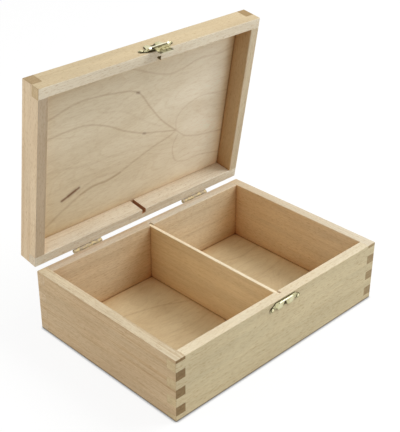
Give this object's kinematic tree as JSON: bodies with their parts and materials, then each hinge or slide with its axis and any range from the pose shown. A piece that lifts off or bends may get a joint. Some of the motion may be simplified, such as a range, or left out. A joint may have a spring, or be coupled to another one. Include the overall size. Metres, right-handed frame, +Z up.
{
  "type": "wooden card box",
  "caption": "Finger-jointed wooden card box with a divider, a hinged lid standing open and a small brass clasp.",
  "frame": {"origin": "middle of the underside of the box, on the surface that it stands on", "axes": "+X along the length to the right, +Y to the back where the hinges are, +Z up; the clasp is at -Y"},
  "size_m": [0.175, 0.1399, 0.1678],
  "materials": {
    "board_wood": "raw light hardwood, fine sanded, dull",
    "plywood": "thin plywood with a wavy pale veneer, unfinished",
    "divider_wood": "thin pale board, unfinished",
    "brass": "thin bright pale brass plate",
    "pin_metal": "plated steel wire"
  },
  "bodies": {
    "base": {"base_front": "board_wood", "base_back": "board_wood", "base_left": "board_wood", "base_right": "board_wood", "base_floor": "plywood", "divider": "divider_wood", "hinge_left_base_leaf": "brass", "hinge_left_pin": "pin_metal", "hinge_left_base_nail_1": "brass", "hinge_left_base_nail_2": "brass", "hinge_right_base_leaf": "brass", "hinge_right_pin": "pin_metal", "hinge_right_base_nail_1": "brass", "hinge_right_base_nail_2": "brass", "clasp_keeper": "brass", "clasp_keeper_nail_1": "brass", "clasp_keeper_nail_2": "brass"},
    "lid": {"lid_front": "board_wood", "lid_back": "board_wood", "lid_left": "board_wood", "lid_right": "board_wood", "lid_panel": "plywood", "hinge_left_lid_leaf": "brass", "hinge_left_lid_nail_1": "brass", "hinge_left_lid_nail_2": "brass", "hinge_right_lid_leaf": "brass", "hinge_right_lid_nail_1": "brass", "hinge_right_lid_nail_2": "brass", "clasp_lid_plate": "brass", "clasp_lid_plate_nail_1": "brass", "clasp_lid_plate_nail_2": "brass", "clasp_pin": "pin_metal"},
    "flap": {"clasp_flap": "brass"}
  },
  "joints": [
    {"name": "lid_hinge", "type": "hinge", "parent": "base", "child": "lid", "pos_m": [0, 0.06275, 0.04215], "axis": [-1, 0, 0], "range_deg": [-81.1, 98.9]},
    {"name": "clasp_flap_hinge", "type": "hinge", "parent": "lid", "child": "flap", "pos_m": [0, 0.04462, 0.167], "axis": [-1, 0, 0], "range_deg": [-4.5, 150]}
  ]
}
